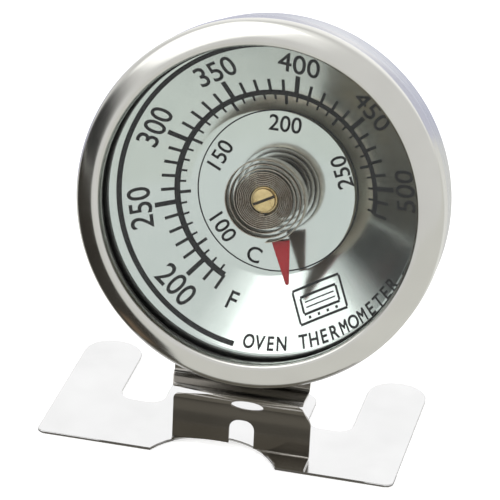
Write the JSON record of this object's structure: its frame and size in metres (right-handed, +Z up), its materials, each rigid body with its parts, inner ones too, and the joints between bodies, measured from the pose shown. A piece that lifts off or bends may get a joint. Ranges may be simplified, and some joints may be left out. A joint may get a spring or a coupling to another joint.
{
  "type": "oven thermometer",
  "caption": "Dial oven thermometer: a round steel case with a bimetal coil movement, leaning back on a bent strap above a slotted plate that stands on an oven shelf.",
  "frame": {"origin": "on the underside of the rack plate, on the plate's centre line, halfway between its front edge and the tips of its arms", "axes": "+Z up from the surface the plate stands on; the dial faces -Y and leans back; +X to the right of someone reading the dial"},
  "size_m": [0.0639, 0.0347, 0.0722],
  "materials": {
    "pressed_steel": "bright pressed stainless sheet",
    "strap_steel": "bright bent stainless sheet",
    "bezel_steel": "polished stainless sheet",
    "cup_steel": "satin drawn stainless sheet",
    "gasket": "dull black heat-proof gasket",
    "glass": "clear flat glass",
    "spacer": "blackened ring",
    "dial": "bright sheet with a printed black scale",
    "bush_brass": "turned brass",
    "stud_brass": "turned brass",
    "collar_brass": "turned brass",
    "bimetal": "rolled bimetal strip",
    "pointer_red": "satin red paint",
    "spring_steel": "plain spring steel",
    "nut_steel": "plain bright nut"
  },
  "bodies": {
    "case": {"rack_plate": "pressed_steel", "neck_strap": "strap_steel", "bezel_ring": "bezel_steel", "case_cup": "cup_steel", "glass_gasket": "gasket", "glass_window": "glass", "spacer_ring": "spacer", "dial_plate": "dial", "stud_bush": "bush_brass", "friction_washer": "spring_steel"},
    "stud": {"calibration_stud": "stud_brass", "coil_collar": "collar_brass", "bimetal_coil": "bimetal", "stud_nut": "nut_steel"},
    "pointer": {"pointer": "pointer_red"}
  },
  "joints": [
    {"name": "stud_turn", "type": "hinge", "parent": "case", "child": "stud", "pos_m": [0.0039, -0.0099, 0.0435], "axis": [0, 0.9681, -0.2504], "range_deg": [-45, 45]},
    {"name": "pointer_turn", "type": "hinge", "parent": "stud", "child": "pointer", "pos_m": [0.0039, -0.0099, 0.0435], "axis": [0, 0.9681, -0.2504], "range_deg": [-30, 300], "stiffness_Nm_per_rad": 0.0003, "deforming": ["bimetal_coil"]}
  ]
}
